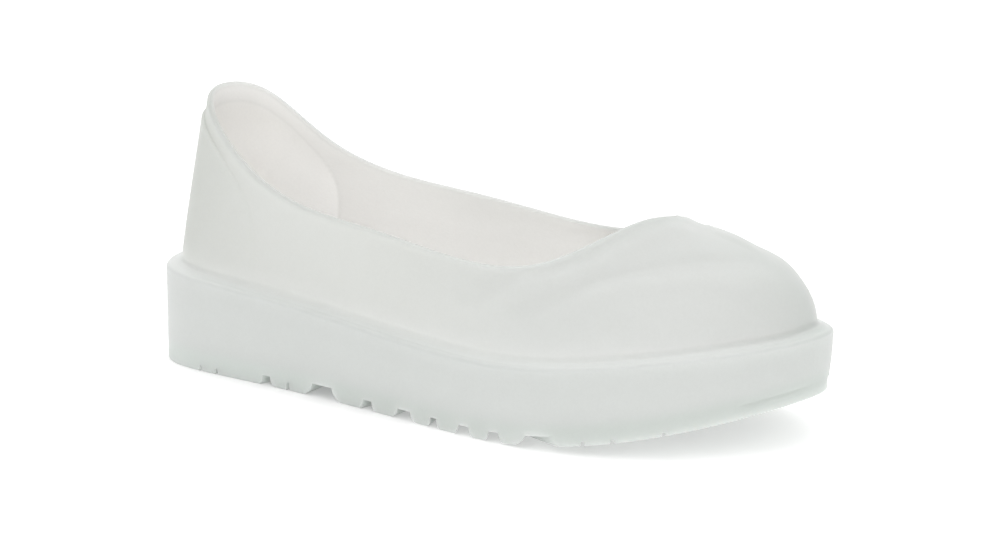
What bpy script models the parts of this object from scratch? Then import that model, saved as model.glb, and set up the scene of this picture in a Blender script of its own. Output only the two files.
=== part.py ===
"""Slip-over overshoe for a right foot, moulded in milky rubber, low cut and open at the top.

Metres, +Z up, toe towards +X and the outer side of the foot towards -Y. The origin is on the ground,
below the middle of the shoe. Each ring of the shoe runs from the back of the heel along the outer side to
the toe and back along the inner side, and all rings share the same turns, so they can be bridged.
"""

import math

import bpy
import numpy as np

# Overall sizes
LENGTH = 0.288
WIDTH = 0.1085
HEEL_HEIGHT = 0.1105
SOLE_HEIGHT = 0.0394

# Toe spring: the underside is flat up to SPRING_START, a share of the length, then curves up to the toe
TOE_SPRING = 0.0201
SPRING_START = 0.60
SPRING_POWER = 1.83

# Mouth of the upper, along the length of the shoe
MOUTH_BACK = 0.0208
MOUTH_LENGTH = 0.2055

# Walls
UPPER_WALL = 0.0025
SOLE_WALL = 0.005
SOLE_FLOOR = 0.004
COUNTER_WALL = 0.0012

# Ledge round the top of the sole, and the lip that it makes over the hollow
LEDGE_WIDTH = 0.006
LEDGE_RISE = 0.0008
LEDGE_RADIUS = 0.002
LIP_DEPTH = 0.004
SIDE_LEAN = 0.0014

# The side wall of the sole is fuller at WAIST_LEVEL, a share of its height, where this share of the lean is left
WAIST_LEVEL = 0.45
WAIST_LEAN = 0.4

# Tread: two pads with a clear waist between them, their ends as shares of LENGTH. Cross grooves are given in
# GROOVE_WIDTHs and LUG_DEPTHs, and the bridge between their arms in WIDTHs
HEEL_TREAD_END = 0.308
FORE_TREAD_START = 0.360
TREAD_PLATE = 0.001
LUG_DEPTH = 0.004
GROOVE_WIDTH = 0.0045
TREAD_CHAMFER = 0.0006
CROSS_WIDTH = 0.6
CROSS_DEPTH = 0.7
CROSS_BRIDGE = 0.02

# Toe block of the tread, set back from the sole's side: where it starts and how soon it is at its full set
# back, as shares of LENGTH
TOE_BLOCK_SET = 0.0005
TOE_BLOCK_START = 0.93
TOE_BLOCK_BLEND = 0.03

# Heel counter: the plain collar left above it, how far it comes forward in degrees of turn, how square its
# front corner is, the share of its height at which the straight front edge ends, and the shares of its
# wall that are left at its front and top edges
COLLAR_BAND = 0.0065
COUNTER_TURN = 52.0
COUNTER_CORNER = 6.0
COUNTER_FRONT = 0.55
COUNTER_FRONT_EDGE = 0.4
COUNTER_TOP_EDGE = 0.6

# Clearance between neighbouring pieces
GAP = 0.0003

# Mesh density
AROUND = 80
UPPER_LEVELS = 11
COUNTER_ACROSS = 30
COUNTER_ROWS = 8
HEEL_TREAD_POINTS = 31
FORE_TREAD_POINTS = 51
RIM_ROUNDING = (0.75, 0.0, -0.75)
LEDGE_ROUNDING = (0.0, 30.0, 60.0, 90.0)

# Outline of the sole: station as a share of LENGTH, outer and inner reach from the centre line as shares
# of WIDTH, the height of the ledge over the underside as a share of SOLE_HEIGHT, and how far the foot of
# the side wall stands in as a share of SIDE_LEAN
SOLE_SECTIONS = (
    # station, outer, inner, ledge, lean
    (0.000, 0.000, 0.000, 1.000, 0.00),
    (0.038, 0.254, 0.251, 0.990, 0.00),
    (0.146, 0.341, 0.350, 0.935, 0.20),
    (0.309, 0.398, 0.318, 0.865, 0.50),
    (0.500, 0.500, 0.353, 0.776, 0.70),
    (0.691, 0.571, 0.409, 0.753, 0.80),
    (0.854, 0.455, 0.404, 0.709, 1.00),
    (0.962, 0.209, 0.204, 0.605, 1.00),
    (1.000, 0.000, 0.000, 0.575, 1.00),
)

# Middle of the rounded rim of the mouth: station as a share of MOUTH_LENGTH, outer and inner reach as
# shares of WIDTH, height at the outer and at the inner side as shares of HEEL_HEIGHT
RIM_SECTIONS = (
    # station, outer, inner, outer_height, inner_height
    (0.000, 0.000, 0.000, 0.995, 0.995),
    (0.038, 0.183, 0.185, 0.942, 0.942),
    (0.146, 0.271, 0.263, 0.776, 0.774),
    (0.309, 0.359, 0.284, 0.670, 0.668),
    (0.500, 0.412, 0.287, 0.630, 0.630),
    (0.691, 0.444, 0.297, 0.586, 0.586),
    (0.854, 0.414, 0.240, 0.609, 0.601),
    (0.962, 0.197, 0.085, 0.718, 0.692),
    (1.000, 0.047, -0.047, 0.729, 0.729),
)

# Side view of the wall of the upper at each station: how far it stands straight up over its foot, as a
# share of the wall's height, how much of the slope from foot to rim it has when it comes to the rim, at the
# outer and at the inner side, and how far the foot stands in from the ledge's edge, in LEDGE_WIDTHs
UPPER_SECTIONS = (
    # station, upright, outer_slope, inner_slope, foot
    (0.000, 0.08, 0.30, 0.30, 1.25),
    (0.038, 0.10, 0.30, 0.30, 1.25),
    (0.146, 0.20, 0.30, 0.30, 1.20),
    (0.309, 0.30, 0.30, 0.30, 1.00),
    (0.500, 0.32, 0.30, 0.30, 1.00),
    (0.691, 0.51, 0.28, 0.28, 1.00),
    (0.854, 0.85, 0.26, 0.18, 1.00),
    (0.962, 0.90, 0.25, 0.05, 1.00),
    (1.000, 0.73, 0.18, 0.18, 1.00),
)

# Grooves from the edge of the tread inwards, the same on both sides: station of the mouth of the groove as
# a share of LENGTH, width in GROOVE_WIDTHs, depth in LUG_DEPTHs, length as a share of WIDTH, and the
# station on the centre line that the groove points at
EDGE_GROOVES = (
    # station, width, depth, run, aim
    (0.111, 0.31, 0.60, 0.10, 0.170),
    (0.141, 0.33, 0.60, 0.10, 0.170),
    (0.232, 1.10, 1.00, 0.15, 0.280),
    (0.271, 0.33, 0.80, 0.12, 0.300),
    (0.416, 1.27, 1.00, 0.20, 0.470),
    (0.483, 1.90, 1.00, 0.20, 0.486),
    (0.537, 0.80, 1.00, 0.24, 0.486),
    (0.590, 1.10, 1.00, 0.26, 0.486),
    (0.640, 0.95, 1.00, 0.26, 0.486),
    (0.708, 2.00, 1.00, 0.17, 0.350),
    (0.764, 0.30, 0.45, 0.14, 0.680),
    (0.801, 0.30, 0.35, 0.14, 0.700),
    (0.860, 0.30, 0.35, 0.12, 0.720),
)

# Grooves across the middle of the tread: station, half span as a share of WIDTH, and how far the ends of
# the chevron lie behind its point as a share of WIDTH
CROSS_GROOVES = (
    # station, half_span, sweep
    (0.110, 0.12, 0.05),
    (0.165, 0.13, 0.05),
    (0.220, 0.13, 0.05),
    (0.600, 0.18, -0.07),
    (0.655, 0.19, -0.07),
    (0.710, 0.20, -0.07),
    (0.765, 0.20, -0.07),
    (0.820, 0.18, -0.07),
    (0.875, 0.14, -0.07),
)

# Soft swells and creases of the vamp, the same on both sides. Each has a height in FOLD_HEIGHTs and a width,
# and its path starts at the side, passes a crest and ends at the toe. Each point of the path is a turn in
# degrees from the heel and a level, which like the width is a share of the wall from foot to rim
FOLD_HEIGHT = 0.0008
FOLD_FADE = 14.0
VAMP_FOLDS = (
    # height, width, side_turn, side_level, crest_turn, crest_level, toe_turn, toe_level
    (1.0, 0.08, 96.0, 0.36, 130.0, 0.84, 166.0, 0.88),
    (-0.7, 0.08, 108.0, 0.48, 137.0, 0.69, 166.0, 0.46),
    (0.8, 0.09, 104.0, 0.27, 136.0, 0.55, 160.0, 0.31),
)

# Colour in linear light, roughness and metallic share of each piece
FINISHES = {
    "upper": ((0.71, 0.735, 0.715), 0.42, 0.0),
    "heel_counter": ((0.70, 0.72, 0.70), 0.42, 0.0),
    "sole_cup": ((0.67, 0.705, 0.685), 0.36, 0.0),
    "heel_tread": ((0.61, 0.655, 0.62), 0.45, 0.0),
    "forefoot_tread": ((0.61, 0.655, 0.62), 0.45, 0.0),
}

TURNS = np.arange(AROUND) * 2 * math.pi / AROUND


def column(table, index):
    return np.array([row[index] for row in table])


def turn_of(station):
    """The turn, from 0 at the heel to pi at the toe, at which a ring passes a station."""
    return np.arccos(1 - 2 * np.clip(station, 0, 1))


def closed_spline(at, values, turns):
    """A smooth closed curve through values at rising turns, read at the given turns."""
    count = len(at)
    step = np.diff(np.append(at, at[0] + 2 * math.pi))
    rise = (np.roll(values, -1) - values) / step
    before = np.roll(step, 1)
    matrix = np.diag(2 * (before + step))
    for i in range(count):
        matrix[i, i - 1] += before[i]
        matrix[i, (i + 1) % count] += step[i]
    bend = np.linalg.solve(matrix, 6 * (rise - np.roll(rise, 1)))
    turns = np.mod(turns, 2 * math.pi)
    span = np.searchsorted(at, turns, side="right") - 1
    after = (span + 1) % count
    t = turns - at[span]
    h = step[span]
    slope = rise[span] - h * (2 * bend[span] + bend[after]) / 6
    return values[span] + t * (slope + t * (bend[span] / 2 + t * (bend[after] - bend[span]) / (6 * h)))


def around(table, outer, inner, turns):
    """A column pair of a table as one closed curve: outer side going out, inner side coming back."""
    at = turn_of(column(table, 0))
    there = column(table, outer)
    back = column(table, inner)
    both = np.concatenate([there, back[-2:0:-1]])
    return closed_spline(np.concatenate([at, 2 * math.pi - at[-2:0:-1]]), both, turns)


def reach(table, turns):
    """Signed distance from the centre line: outer side negative, inner side positive."""
    mirrored = tuple((row[0], -row[1], row[2]) for row in table)
    return around(mirrored, 1, 2, turns) * WIDTH


def spring(x):
    """Height of the underside over the ground at x from the heel."""
    past = np.clip((x / LENGTH - SPRING_START) / (1 - SPRING_START), 0, None)
    return TOE_SPRING * past**SPRING_POWER


def outline(turns):
    """Plan outline of the sole, with x from the back of the heel."""
    return np.stack([LENGTH * (1 - np.cos(turns)) / 2, reach(SOLE_SECTIONS, turns)], axis=-1)


def mouth(turns):
    """Plan of the middle of the rim, with x from the back of the heel."""
    x = MOUTH_BACK + MOUTH_LENGTH * (1 - np.cos(turns)) / 2
    return np.stack([x, reach(RIM_SECTIONS, turns)], axis=-1)


def outward(plan, turns):
    """Outward direction of a plan curve."""
    small = 0.001
    along = plan(turns + small) - plan(turns - small)
    across = np.stack([along[:, 1], -along[:, 0]], axis=-1)
    return across / np.linalg.norm(across, axis=1, keepdims=True)


def ledge_height(turns):
    """Height of the ledge's outer edge over the ground."""
    x = outline(turns)[:, 0]
    return around(SOLE_SECTIONS, 3, 3, turns) * SOLE_HEIGHT + spring(x)


def side_lean(turns, height):
    """How far the side wall stands in from the outline at a height over the underside."""
    return around(SOLE_SECTIONS, 4, 4, turns) * SIDE_LEAN * (1 - height / SOLE_HEIGHT)


def sole_ring(turns, inset, height):
    """The outline moved in by inset, at a height over the ground."""
    plan = outline(turns) - outward(outline, turns) * np.reshape(inset, (-1, 1))
    return np.column_stack([plan, np.broadcast_to(height, len(turns))])


def foot_inset(turns):
    """How far the foot of the upper stands in from the outline."""
    return around(UPPER_SECTIONS, 4, 4, turns) * LEDGE_WIDTH


def foot_ring(turns):
    height = ledge_height(turns) + LEDGE_RISE + GAP
    return sole_ring(turns, foot_inset(turns), height)


def rim_ring(turns):
    """Outer edge of the rim, half a wall outside and below its middle."""
    plan = mouth(turns) + outward(mouth, turns) * UPPER_WALL / 2
    height = around(RIM_SECTIONS, 3, 4, turns) * HEEL_HEIGHT - UPPER_WALL / 2
    return np.column_stack([plan, height])


def plain_skin(turns, level):
    """Outer face of the upper, from its foot at level 0 to the rim at level 1, without folds."""
    foot = foot_ring(turns)
    rim = rim_ring(turns)
    height = rim[:, 2] - foot[:, 2]
    upright = foot.copy()
    upright[:, 2] += around(UPPER_SECTIONS, 1, 1, turns) * height
    lean = rim + around(UPPER_SECTIONS, 2, 3, turns)[:, None] * (foot - rim)
    t = np.reshape(np.broadcast_to(level, len(turns)), (-1, 1))
    return (1 - t) ** 3 * foot + 3 * (1 - t) ** 2 * t * upright + 3 * (1 - t) * t**2 * lean + t**3 * rim


def skin_normal(turns, level):
    """Outward direction of the upper's face."""
    small = 0.002
    along = plain_skin(turns + small, level) - plain_skin(turns - small, level)
    low = np.clip(np.asarray(level) - small, 0, 1)
    high = np.clip(np.asarray(level) + small, 0, 1)
    up = plain_skin(turns, high) - plain_skin(turns, low)
    normal = np.cross(along, up)
    return normal / np.linalg.norm(normal, axis=1, keepdims=True)


def smooth_step(value):
    value = np.clip(value, 0, 1)
    return value * value * (3 - 2 * value)


def folds(turns, level):
    """Height of the soft folds of the vamp over the plain skin."""
    from_heel = np.degrees(np.abs(np.mod(turns + math.pi, 2 * math.pi) - math.pi))
    total = np.zeros(len(turns))
    for height, width, side, side_level, crest, crest_level, toe, toe_level in VAMP_FOLDS:
        climb = smooth_step((from_heel - side) / (crest - side))
        fall = smooth_step((from_heel - crest) / (toe - crest))
        path = side_level + (crest_level - side_level) * climb + (toe_level - crest_level) * fall
        ends = smooth_step((from_heel - side) / FOLD_FADE) * smooth_step(1 - (from_heel - toe) / FOLD_FADE)
        total += height * FOLD_HEIGHT * ends * np.exp(-(((level - path) / width) ** 2))
    return total


def skin(turns, level, out=0.0):
    """Face of the upper moved out by a distance, folds included."""
    lift = folds(turns, level) + out
    return plain_skin(turns, level) + skin_normal(turns, level) * np.reshape(lift, (-1, 1))


def ring_faces(rings, count, closed):
    """Quads between consecutive rings, and from the last to the first when closed."""
    faces = []
    pairs = [(k, k + 1) for k in range(rings - 1)]
    if closed:
        pairs.append((rings - 1, 0))
    for low, high in pairs:
        for i in range(count):
            j = (i + 1) % count
            faces.append((low * count + i, low * count + j, high * count + j, high * count + i))
    return faces


def rung_faces(first, count, upwards):
    """Fill of an odd ring whose points pair up across the shoe, the first with the last."""
    half = count // 2
    faces = [(first + half - 1, first + half, first + half + 1)]
    for i in range(half - 1):
        faces.append((first + i, first + i + 1, first + count - 2 - i, first + count - 1 - i))
    return [face if upwards else face[::-1] for face in faces]


def ladder_faces(first, count, upwards):
    """Fill of a whole ring that starts at the back of the heel."""
    heel = (first, first + 1, first + count - 1)
    return [heel if upwards else heel[::-1]] + rung_faces(first + 1, count - 1, upwards)


def centred(points):
    """Moves points so that the middle of the sole's outline is over the origin."""
    plan = outline(TURNS)
    middle = (plan.min(axis=0) + plan.max(axis=0)) / 2
    return np.asarray(points) - np.array([middle[0], middle[1], 0])


def make_material(name):
    colour, roughness, metallic = FINISHES[name]
    material = bpy.data.materials.new(name)
    material.use_nodes = True
    shader = material.node_tree.nodes["Principled BSDF"]
    shader.inputs["Base Color"].default_value = (*colour, 1)
    shader.inputs["Roughness"].default_value = roughness
    shader.inputs["Metallic"].default_value = metallic
    material.diffuse_color = (*colour, 1)
    return material


def make_object(name, points, faces, sharp_angle=35):
    mesh = bpy.data.meshes.new(name)
    mesh.from_pydata(centred(points).tolist(), [], faces)
    mesh.shade_smooth()
    mesh.set_sharp_from_angle(angle=math.radians(sharp_angle))
    mesh.update()
    result = bpy.data.objects.new(name, mesh)
    bpy.context.scene.collection.objects.link(result)
    return result


def make_upper():
    """Thin shell: outer face up, over the rounded rim, inner face down, and across the foot."""
    levels = np.linspace(0, 1, UPPER_LEVELS)
    rings = [skin(TURNS, level) for level in levels]
    outer_rim = rings[-1]
    inner = [skin(TURNS, level, -UPPER_WALL) for level in levels[::-1]]
    middle = (outer_rim + inner[0]) / 2
    up = outer_rim - skin(TURNS, 0.96)
    up /= np.linalg.norm(up, axis=1, keepdims=True)
    for share in RIM_ROUNDING:
        edge = middle + (outer_rim - middle) * share
        crown = math.sqrt(1 - share**2) * UPPER_WALL / 2
        rings.append(edge + up * crown)
    rings += inner
    foot = foot_ring(TURNS)[:, 2]
    rings[0][:, 2] = foot
    rings[-1][:, 2] = foot
    points = np.concatenate(rings)
    shell = make_object("upper", points, ring_faces(len(rings), AROUND, True))
    shell.data.materials.append(make_material("upper"))
    return shell


def make_heel_counter():
    """Raised panel round the heel, clear of the upper, with a rounded front corner on each side."""
    across = COUNTER_ACROSS
    rows = COUNTER_ROWS
    end = (1 - COUNTER_FRONT**COUNTER_CORNER) ** (1 / COUNTER_CORNER)
    side = np.sin(np.linspace(-1, 1, across + 1) * math.pi / 2) * end
    turns = side * math.radians(COUNTER_TURN)
    wall_height = rim_ring(turns)[:, 2] - foot_ring(turns)[:, 2]
    top = 1 - COLLAR_BAND / wall_height.max()
    edge = top * (1 - np.abs(side) ** COUNTER_CORNER) ** (1 / COUNTER_CORNER)
    soften = np.ones((rows + 1, across + 1))
    soften[-1, :] = COUNTER_TOP_EDGE
    soften[:, 0] = COUNTER_FRONT_EDGE
    soften[:, -1] = COUNTER_FRONT_EDGE
    inner = []
    outer = []
    for row in range(rows + 1):
        level = edge * row / rows
        inner.append(skin(turns, level, GAP))
        outer.append(skin(turns, level, GAP + COUNTER_WALL * soften[row]))
    foot = foot_ring(turns)[:, 2]
    inner[0][:, 2] = foot
    outer[0][:, 2] = foot
    points = np.concatenate(inner + outer)
    width = across + 1
    shift = (rows + 1) * width
    faces = []
    for row in range(rows):
        for i in range(across):
            a = row * width + i
            faces.append((a, a + width, a + width + 1, a + 1))
            faces.append((shift + a, shift + a + 1, shift + a + width + 1, shift + a + width))
    for i in range(across):
        last = rows * width + i
        faces.append((i, i + 1, shift + i + 1, shift + i))
        faces.append((last, shift + last, shift + last + 1, last + 1))
    for row in range(rows):
        a = row * width
        b = a + across
        faces.append((a, shift + a, shift + a + width, a + width))
        faces.append((b, b + width, shift + b + width, shift + b))
    panel = make_object("heel_counter", points, faces)
    panel.data.materials.append(make_material("heel_counter"))
    return panel


def make_sole_cup():
    """Side wall with a rounded ledge, the lip under the upper, and a floor: one open cup."""
    ledge = ledge_height(TURNS)
    foot_in = foot_inset(TURNS)
    underside = TREAD_PLATE + LUG_DEPTH + GAP
    floor = underside + SOLE_FLOOR
    x = outline(TURNS)[:, 0]
    base = spring(x)
    wall_foot = side_lean(TURNS, TREAD_PLATE + LUG_DEPTH)
    waist = (base + underside) * (1 - WAIST_LEVEL) + ledge * WAIST_LEVEL
    rings = [sole_ring(TURNS, wall_foot, base + underside)]
    rings.append(sole_ring(TURNS, wall_foot * WAIST_LEAN, waist))
    for angle in np.radians(LEDGE_ROUNDING):
        drop = LEDGE_RADIUS * (1 - math.sin(angle))
        inset = LEDGE_RADIUS * (1 - math.cos(angle))
        rings.append(sole_ring(TURNS, inset, ledge - drop))
    lip_edge = foot_in + UPPER_WALL
    rings.append(sole_ring(TURNS, foot_in, ledge + LEDGE_RISE))
    rings.append(sole_ring(TURNS, lip_edge, ledge + LEDGE_RISE))
    rings.append(sole_ring(TURNS, lip_edge, ledge - LIP_DEPTH + LEDGE_RISE))
    rings.append(sole_ring(TURNS, SOLE_WALL, ledge - LIP_DEPTH))
    rings.append(sole_ring(TURNS, SOLE_WALL, base + floor))
    for index in (0, len(rings) - 1):
        ring = rings[index]
        ring[:, 2] = spring(ring[:, 0]) + (underside if index == 0 else floor)
    points = np.concatenate(rings)
    faces = ring_faces(len(rings), AROUND, False)
    faces += ladder_faces(0, AROUND, False)
    faces += ladder_faces((len(rings) - 1) * AROUND, AROUND, True)
    cup = make_object("sole_cup", points, faces)
    cup.data.materials.append(make_material("sole_cup"))
    return cup


def groove_box(start, end, half_width, depth):
    """Eight corners of a straight groove cutter, its ceiling at depth over the sprung underside."""
    along = (end - start) / np.linalg.norm(end - start)
    side = np.array([-along[1], along[0]]) * half_width
    corners = [start - side, end - side, end + side, start + side]
    low = [(x, y, spring(x) - LUG_DEPTH) for x, y in corners]
    high = [(x, y, spring(x) + depth) for x, y in corners]
    return low + high


def groove_points(start, end):
    """Corner sets of the cutters of the grooves between two stations."""
    boxes = []
    for station, width, depth, run, aim in EDGE_GROOVES:
        if not start <= station <= end:
            continue
        for turn in (turn_of(station), 2 * math.pi - turn_of(station)):
            edge = outline(np.array([turn]))[0]
            target = np.array([aim * LENGTH, 0])
            along = (target - edge) / np.linalg.norm(target - edge)
            outside = edge - along * GROOVE_WIDTH * 2
            inside = edge + along * run * WIDTH
            boxes.append(groove_box(outside, inside, width * GROOVE_WIDTH / 2, depth * LUG_DEPTH))
    for station, half_span, sweep in CROSS_GROOVES:
        if not start <= station <= end:
            continue
        turn = turn_of(station)
        middle = (outline(np.array([turn]))[0] + outline(np.array([2 * math.pi - turn]))[0]) / 2
        for side in (-1, 1):
            inner = middle + np.array([0, side * CROSS_BRIDGE]) * WIDTH
            outer = middle + np.array([-sweep, side * half_span]) * WIDTH
            boxes.append(groove_box(inner, outer, CROSS_WIDTH * GROOVE_WIDTH / 2, CROSS_DEPTH * LUG_DEPTH))
    return boxes


def make_groove_cutter(name, start, end):
    points = []
    faces = []
    for box in groove_points(start, end):
        first = len(points)
        points += box
        bottom = (0, 3, 2, 1)
        top = (4, 5, 6, 7)
        walls = [(0, 1, 5, 4), (1, 2, 6, 5), (2, 3, 7, 6), (3, 0, 4, 7)]
        faces += [tuple(first + k for k in face) for face in (bottom, top, *walls)]
    cutter = make_object(name, points, faces)
    cutter.hide_render = True
    cutter.display_type = "WIRE"
    return cutter


def make_tread(name, turns, start, end):
    """Pad of the outsole: a slab that follows the toe spring, with the grooves cut from below."""
    toe_set = TOE_BLOCK_SET * smooth_step((outline(turns)[:, 0] / LENGTH - TOE_BLOCK_START) / TOE_BLOCK_BLEND)
    rings = []
    for inset, height in ((TREAD_CHAMFER, 0), (0, TREAD_CHAMFER), (0, LUG_DEPTH + TREAD_PLATE)):
        ring = sole_ring(turns, side_lean(turns, height) + inset + toe_set, 0)
        ring[:, 2] = spring(ring[:, 0]) + height
        rings.append(ring)
    count = len(turns)
    points = np.concatenate(rings)
    faces = ring_faces(len(rings), count, False)
    faces += rung_faces(0, count, False)
    faces += rung_faces((len(rings) - 1) * count, count, True)
    tread = make_object(name, points, faces)
    tread.data.materials.append(make_material(name))
    cut = tread.modifiers.new("grooves", "BOOLEAN")
    cut.operation = "DIFFERENCE"
    cut.solver = "EXACT"
    cut.use_self = True
    cut.object = make_groove_cutter(name + "_grooves", start, end)
    return tread


def make_heel_tread():
    front = turn_of(HEEL_TREAD_END)
    turns = np.linspace(-front, front, HEEL_TREAD_POINTS)
    return make_tread("heel_tread", turns, 0, HEEL_TREAD_END)


def make_forefoot_tread():
    back = turn_of(FORE_TREAD_START)
    turns = np.linspace(back, 2 * math.pi - back, FORE_TREAD_POINTS)
    return make_tread("forefoot_tread", turns, FORE_TREAD_START, 1)


def main():
    for old in list(bpy.data.objects):
        bpy.data.objects.remove(old, do_unlink=True)
    shoe = bpy.data.objects.new("overshoe", None)
    bpy.context.scene.collection.objects.link(shoe)
    for make in (make_upper, make_heel_counter, make_sole_cup, make_heel_tread, make_forefoot_tread):
        make().parent = shoe


main()
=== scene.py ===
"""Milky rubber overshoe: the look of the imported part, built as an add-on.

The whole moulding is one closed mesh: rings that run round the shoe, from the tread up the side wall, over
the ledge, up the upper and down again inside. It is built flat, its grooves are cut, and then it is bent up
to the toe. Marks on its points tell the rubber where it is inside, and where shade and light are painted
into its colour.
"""

import math
import bpy
import numpy as np
from bpy.props import FloatProperty, FloatVectorProperty, IntProperty, PointerProperty
from mathutils import Matrix, Vector


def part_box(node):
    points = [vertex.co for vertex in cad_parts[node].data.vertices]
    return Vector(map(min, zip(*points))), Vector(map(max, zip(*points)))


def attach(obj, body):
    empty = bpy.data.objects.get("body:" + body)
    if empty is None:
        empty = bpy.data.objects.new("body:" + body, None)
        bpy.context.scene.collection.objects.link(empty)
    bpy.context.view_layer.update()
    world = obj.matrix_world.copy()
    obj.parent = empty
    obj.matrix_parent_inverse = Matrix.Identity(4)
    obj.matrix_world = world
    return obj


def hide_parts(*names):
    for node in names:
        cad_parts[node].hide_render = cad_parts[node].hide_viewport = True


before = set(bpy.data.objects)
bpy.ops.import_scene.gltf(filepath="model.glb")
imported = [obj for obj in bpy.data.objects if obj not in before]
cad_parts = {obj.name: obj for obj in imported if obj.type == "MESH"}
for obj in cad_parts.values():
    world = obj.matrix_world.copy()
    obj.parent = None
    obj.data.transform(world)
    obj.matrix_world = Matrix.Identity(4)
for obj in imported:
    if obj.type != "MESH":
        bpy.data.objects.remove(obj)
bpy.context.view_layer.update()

bl_info = {
    "name": "Rubber Overshoe",
    "version": (1, 0, 0),
    "blender": (4, 5, 0),
    "location": "3D View > Sidebar > Overshoe",
    "description": "Builds a translucent slip-over overshoe with its stage",
    "category": "Object",
}

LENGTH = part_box("sole_cup")[1].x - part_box("sole_cup")[0].x
HEEL_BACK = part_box("sole_cup")[0].x

# Sizes of the part in metres
WIDTH = 0.1085
HEEL_HEIGHT = 0.1105
SOLE_HEIGHT = 0.0394
TOE_SPRING = 0.0201
MOUTH_BACK = 0.0208
MOUTH_LENGTH = 0.2055
UPPER_WALL = 0.0025
SOLE_WALL = 0.005
SOLE_FLOOR = 0.0093
FLOOR_RADIUS = 0.0015
LEDGE_WIDTH = 0.006
LEDGE_RISE = 0.0008
LEDGE_RADIUS = 0.002
LIP_DEPTH = 0.004
SIDE_LEAN = 0.0014
FILLET = 0.0022
TREAD_TOP = 0.0052
TREAD_CHAMFER = 0.0006
TOE_BLOCK_SET = 0.0005
COLLAR_BAND = 0.0065
COUNTER_WALL = 0.0013
SEAM = 0.00005

# Stations, as shares of the length from the heel
SPRING_START = 0.60
HEEL_TREAD_END = 0.308
FORE_TREAD_START = 0.360
TOE_BLOCK_START = 0.936
TOE_BLOCK_BLEND = 0.004

# The rise of the toe spring, the break in the side's lean, and the highest level of the fillet
SPRING_POWER = 1.83
WAIST_LEVEL = 0.45
WAIST_LEAN = 0.4
FILLET_TOP = 0.1

# Heel counter: turn of its front edge in degrees, squareness of its corner, and shares of its reach
COUNTER_TURN = 52.0
COUNTER_CORNER = 6.0
COUNTER_EDGE = 0.02
COUNTER_LINE = 0.010
COUNTER_TAPER = 0.85
COUNTER_FULL = 0.2

# Mesh density, with the turns in radians that are added at the counter's front edges
AROUND = 280
FRONT_TURNS = (-0.06, 0.04, 25)
WALL_STEPS = 12
LEDGE_STEPS = 7
LEDGE_STRIPS = (0.33, 0.66, 1.0)
FILLET_STEPS = (0.2, 0.4, 0.6, 0.8)
DENSE_LEVEL = 0.6
OUTER_STEPS = (35, 65)
INNER_STEPS = (50, 25)
BELOW_RIM = 0.96
SMOOTH_ANGLE = 40

# Painted shade on the rim, which keeps its thin rounding from shining: how far its darker colour fades down
# the faces, and its share on either side
RIM_FADE = 0.0008
RIM_OUTSIDE = 0.45
RIM_INSIDE = 0.38
RIM_CLIMB = 1.2

# Painted shade on the heel's back, the toe and the throat: spreads in degrees, levels and strengths
HEEL_BACK_TURN = 26.0
TOE_TURN = 22.0
TOE_LEVELS = (0.9, 0.5)
TOE_ON_LEDGE = 1.4
TOE_ON_SOLE = 0.5
THROAT_TURN = 35.0
THROAT_LEVELS = (0.82, 0.15)
THROAT_SHARE = 0.8

# Painted shade on the ledge's rounded edge, which dims its highlight, over the angle of its rounding in
# radians
EDGE_ANGLE = 0.6
EDGE_SPREAD = 0.45

# Painted sheen on the swell of the vamp: turn in degrees and level
CHEEK_TURN = 149.0
CHEEK_SPREAD = 18.0
CHEEK_LEVEL = 0.30
CHEEK_HEIGHT = 0.30

# Painted light in the crease where the upper meets the ledge, in place of its shade: strengths on the ledge,
# in the fillet and up the upper, and how far they fade
CREASE_ON_EDGE = 0.3
CREASE_ON_LEDGE = (0.5, 0.2)
CREASE_IN_FILLET = (0.7, 0.3)
CREASE_ON_UPPER = (0.85, 0.10)
CREASE_FADE = 0.003
CREASE_GLOW = 0.014
CREASE_AT_TOE = 0.9
CREASE_LEAST = 0.01

# Rubber: where one colour turns into the next, painted shade and light among them, in metres along the shoe,
# over the ground, or as levels
SOLE_FRONT_X = (0.06, 0.12)
SOLE_TOP_RISE = (0.024, 0.040)
LOW_FRONT_X = (-0.06, -0.01)
SIDE_X = (-0.02, 0.07)
HEEL_INSIDE_X = (0.02, -0.10)
FRONT_LIGHT_X = (-0.02, 0.05)
FLOOR_LIGHT_LEVEL = (0.6, 0.1)
MOUTH_LEVEL = (0.55, 1.0)
PANEL_LEVEL = (1.0, 0.65)
# Painted shade of the counter's edge line on the outer faces
LINE_SHADE_OUTSIDE = 0.01
CLOUD_SCALE = 22.0
SPECK_SCALE = 900.0
CLOUD_FROST = 0.12
SPECK_FROST = 0.10
CLOUD_BUMP = 0.5
GRAIN_HEIGHT = 0.0002
RUBBER_IOR = 1.45
RUBBER_SPECULAR = 0.4

# Floor: its radius, and a painted shadow round the sole as the share of the table's light taken away, by
# station and by distance
FLOOR_REACH = 8.0
FLOOR_SHADOW = 0.42
SHADOW_END = (0.62, 0.25)
SHADOW_HEEL = (0.4, 0.2)
FLOOR_RINGS = (
    # outward from the sole, share of the table's light taken away as painted shadow
    (0.030, 0.00),
    (0.018, 0.05),
    (0.011, 0.20),
    (0.006, 0.50),
    (0.002, 0.85),
    (-0.004, 1.00),
)
FLOOR_GRAIN_SCALE = 60.0
FLOOR_ROUGHNESS = 0.9
FLOOR_GRAIN = 0.05

# Camera, in degrees and in metres from the back of the heel, and the soft box
CAMERA_AZIMUTH = 31.322
CAMERA_RISE = 13.327
CAMERA_TARGET = (0.149578, 0.0, 0.048142)
CAMERA_DISTANCE = 1.15
KEY_PLACE = (0.35, 0.45, 1.3)
KEY_TARGET = (0.0, 0.0, 0.03)
KEY_SIZE = (1.2, 1.0)

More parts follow.
